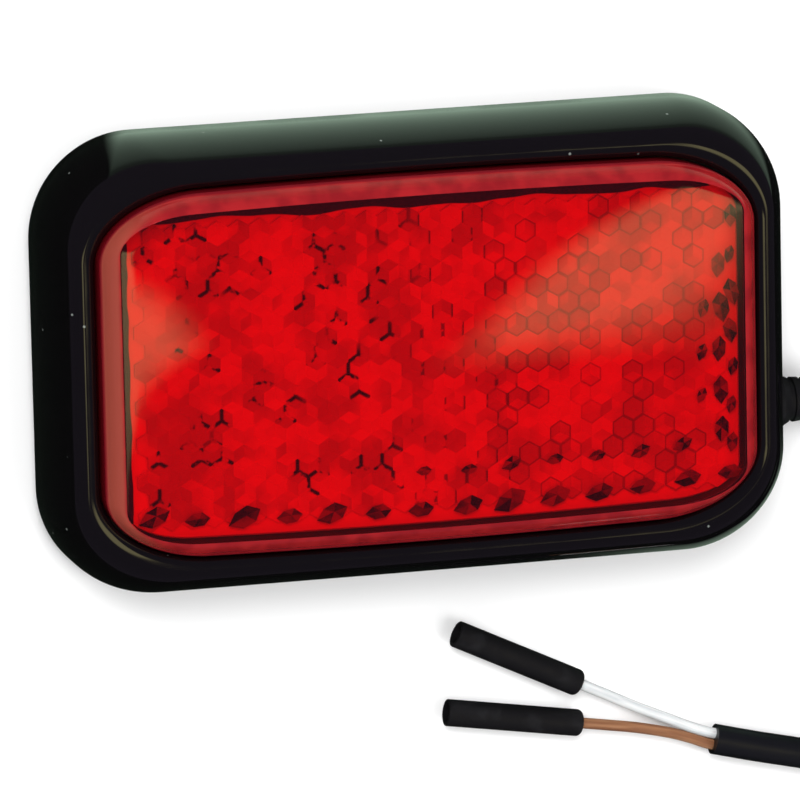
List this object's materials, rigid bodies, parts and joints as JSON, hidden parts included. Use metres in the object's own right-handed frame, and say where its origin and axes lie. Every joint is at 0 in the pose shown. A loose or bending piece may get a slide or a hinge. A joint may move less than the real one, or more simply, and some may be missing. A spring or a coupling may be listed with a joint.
{
  "type": "trailer tail light",
  "caption": "Small rectangular red rear marker light: clip-in LED module with reflex optic in a black screw-on bezel, with a short coiled two-core lead and sleeved ends.",
  "frame": {"origin": "bottom centre of the foam gasket's back face, which lies on the panel", "axes": "+X along the lamp's long side towards the lead's exit, +Y along its short side, +Z out of the lens"},
  "size_m": [0.0974, 0.06, 0.0125],
  "materials": {
    "bezel": "gloss black moulded ABS",
    "housing": "black moulded ABS",
    "lens": "clear red moulded acrylic",
    "optic": "red acrylic with moulded reflex prisms",
    "gasket": "closed-cell foam rubber",
    "board": "white solder mask on glass epoxy",
    "led": "white LED package",
    "chip": "black epoxy moulding",
    "capacitor": "yellow resin",
    "potting": "cast epoxy",
    "solder": "solder",
    "sheath": "extruded black PVC",
    "core_white": "extruded white PVC",
    "core_brown": "extruded brown PVC",
    "sleeve": "matt black soft PVC",
    "contact": "brass",
    "tie": "black nylon"
  },
  "bodies": {
    "mounting_frame": {"base_gasket": "gasket", "mounting_bezel": "bezel", "strain_relief": "sleeve", "cable_lamp_run": "sheath", "cable_coil": "sheath", "coil_tie": "tie", "cable_free_run": "sheath", "white_core": "core_white", "brown_core": "core_brown", "white_contact": "contact", "brown_contact": "contact"},
    "lamp_module": {"lamp_housing": "housing", "outer_lens": "lens", "reflex_optic": "optic", "circuit_board": "board", "led_1": "led", "led_2": "led", "led_3": "led", "led_4": "led", "led_5": "led", "led_6": "led", "series_resistor_1": "chip", "series_resistor_2": "chip", "bridge_rectifier": "chip", "surge_suppressor": "chip", "smoothing_capacitor": "capacitor", "current_regulator": "chip", "cable_potting": "potting", "inner_sheath": "sheath", "inner_white_core": "core_white", "inner_brown_core": "core_brown", "white_solder_joint": "solder", "brown_solder_joint": "solder"},
    "white_wire_sleeve": {"white_sleeve": "sleeve"},
    "brown_wire_sleeve": {"brown_sleeve": "sleeve"}
  },
  "joints": [
    {"name": "module_release", "type": "slide", "parent": "mounting_frame", "child": "lamp_module", "axis": [0, 0, 1], "range_m": [0, 0.006]},
    {"name": "white_sleeve_slide", "type": "slide", "parent": "mounting_frame", "child": "white_wire_sleeve", "axis": [0.899, -0.438, 0], "range_m": [0, 0.0035]},
    {"name": "brown_sleeve_slide", "type": "slide", "parent": "mounting_frame", "child": "brown_wire_sleeve", "axis": [0.9871, -0.16, 0], "range_m": [0, 0.0035]}
  ]
}
